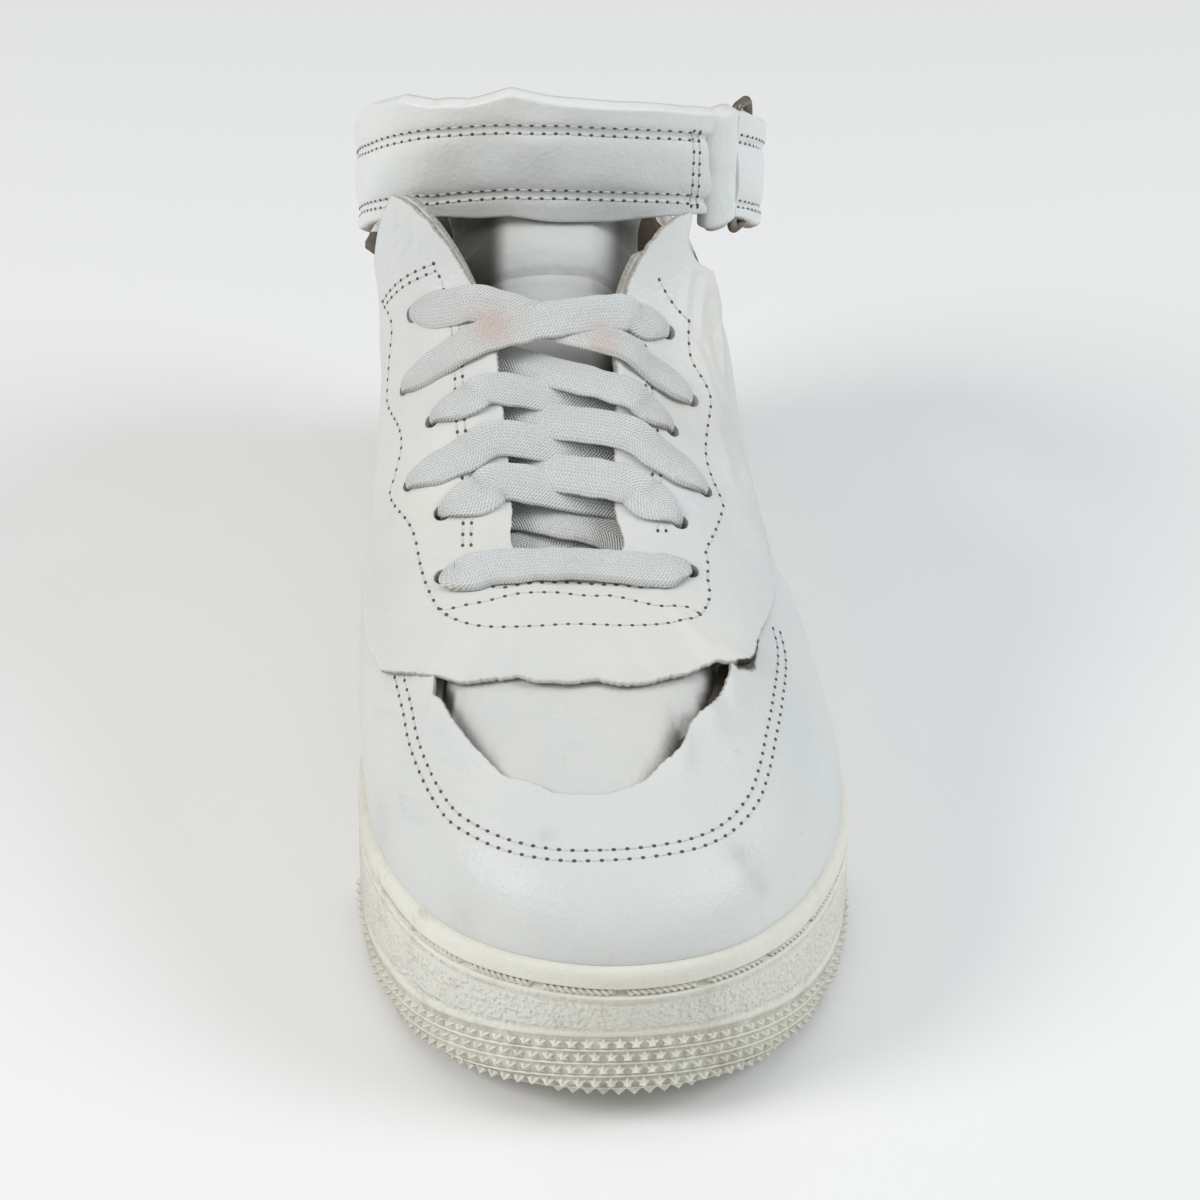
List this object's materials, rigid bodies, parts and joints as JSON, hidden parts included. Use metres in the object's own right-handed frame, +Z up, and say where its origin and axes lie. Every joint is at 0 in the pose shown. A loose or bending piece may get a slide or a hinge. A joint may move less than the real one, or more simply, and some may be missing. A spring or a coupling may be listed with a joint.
{
  "type": "worn out sneaker",
  "caption": "Worn out white leather sneaker for the left foot, with raw torn leather edges, flat laces, an ankle strap and a cream rubber cup sole.",
  "frame": {"origin": "on the floor under the middle of the shoe's overall box", "axes": "+Z up, -Y towards the toe, +Y towards the heel, -X towards the inner side of the foot"},
  "size_m": [0.1067, 0.3, 0.1469],
  "materials": {
    "leather": "worn white leather, satin, scuffed and creased, with raw torn edges",
    "tongue_leather": "soft white leather, padded, a little darker from dirt",
    "strap_leather": "soft white leather, padded, with stitched edges",
    "footbed": "flattened and soiled textile",
    "cup_rubber": "cream rubber, matt, with dirt in the stitch groove",
    "bottom_rubber": "cream rubber, matt, soiled",
    "lace_fabric": "flat woven cotton, fuzzy and slightly stained",
    "ring_metal": "dull dark metal, tarnished"
  },
  "bodies": {
    "root": {"outsole": "bottom_rubber", "midsole": "cup_rubber", "insole": "footbed", "upper": "leather", "toe_overlay": "leather", "lace_stay": "leather", "tongue": "tongue_leather", "strap_front": "strap_leather", "strap_rear": "strap_leather", "strap_ring": "ring_metal", "lace_bar": "lace_fabric", "lace_cross_1": "lace_fabric", "lace_cross_2": "lace_fabric", "lace_cross_3": "lace_fabric", "lace_cross_4": "lace_fabric"}
  },
  "joints": []
}
